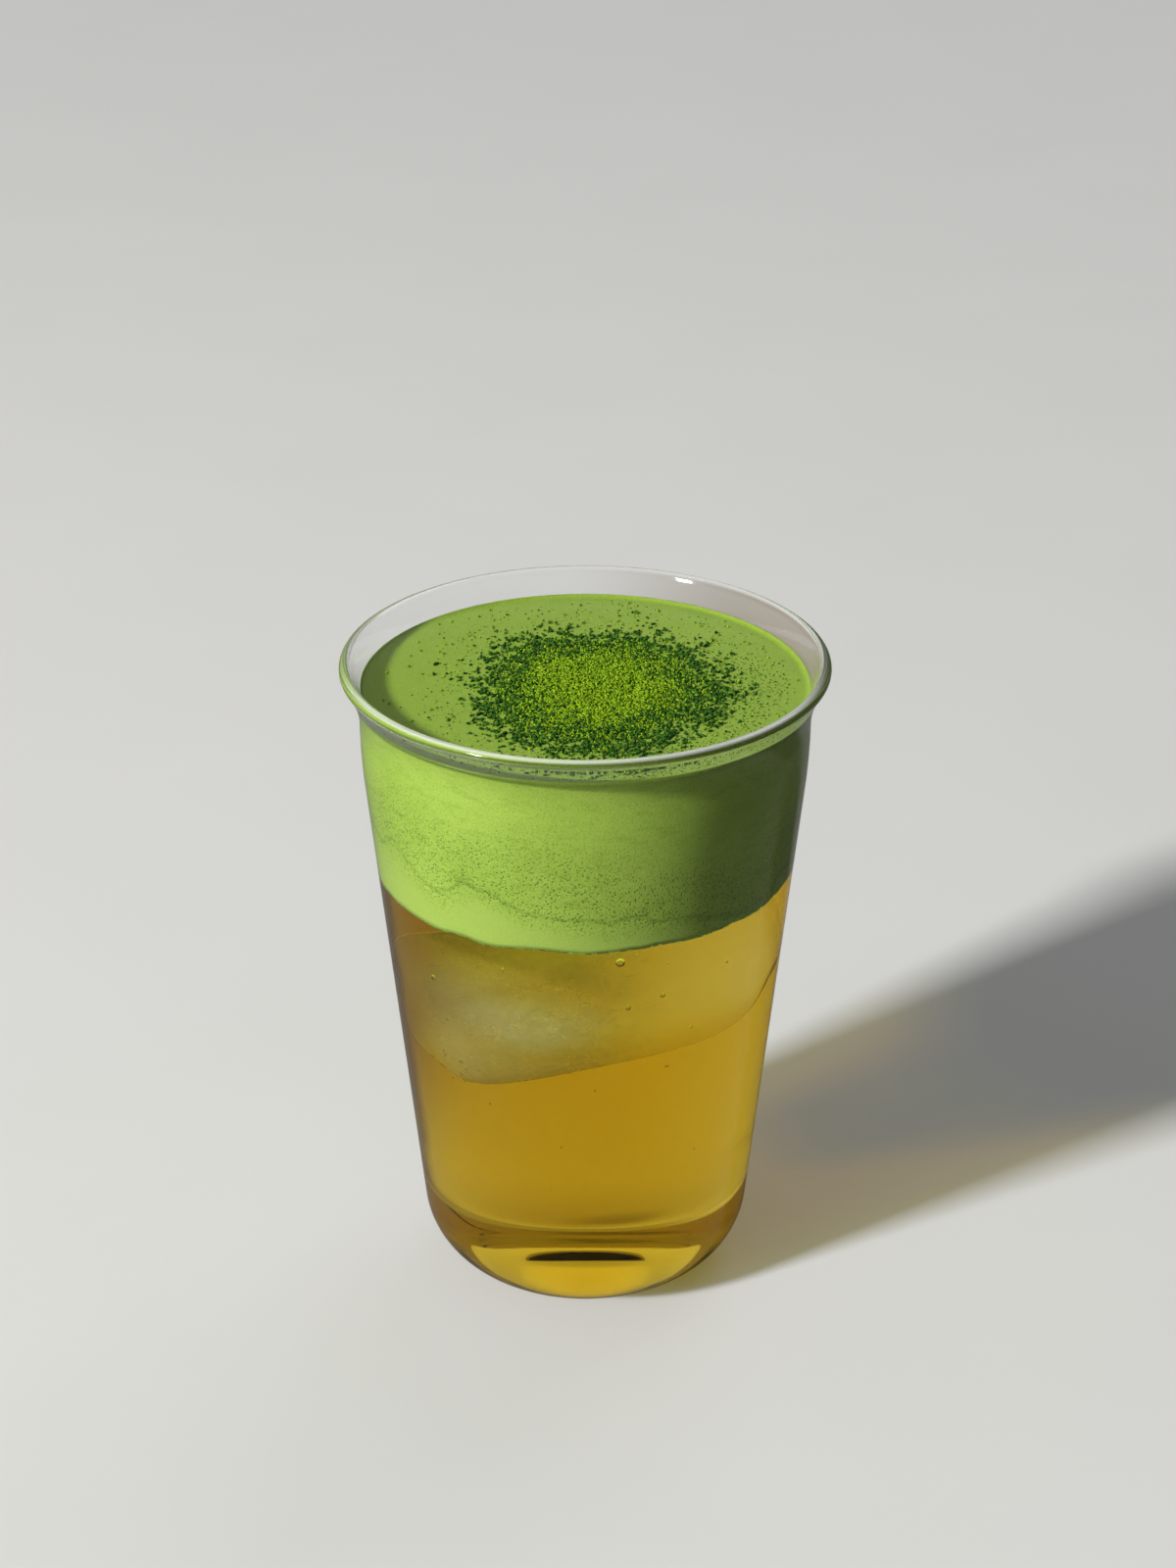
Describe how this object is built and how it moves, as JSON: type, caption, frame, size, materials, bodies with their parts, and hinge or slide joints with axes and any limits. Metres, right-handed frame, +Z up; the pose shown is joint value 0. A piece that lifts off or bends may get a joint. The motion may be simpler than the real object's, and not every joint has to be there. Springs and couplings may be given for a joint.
{
  "type": "iced matcha",
  "caption": "Iced tea in a flared clear tumbler: golden tea with ice under a thick layer of green matcha foam, dusted with matcha powder. Stands on its foot.",
  "frame": {"origin": "middle of the foot, on the surface that the glass stands on", "axes": "+Z up along the axis of the glass, -Y towards the drinker, +X to the drinker's right"},
  "size_m": [0.09, 0.09, 0.126],
  "materials": {
    "clear_glass": "clear blown glass, fire-polished lip",
    "golden_tea": "clear golden liquid",
    "green_foam": "fine moist foam",
    "green_powder": "loose dry powder"
  },
  "bodies": {
    "root": {"tumbler": "clear_glass", "tea": "golden_tea", "matcha_foam": "green_foam", "matcha_powder": "green_powder"}
  },
  "joints": []
}
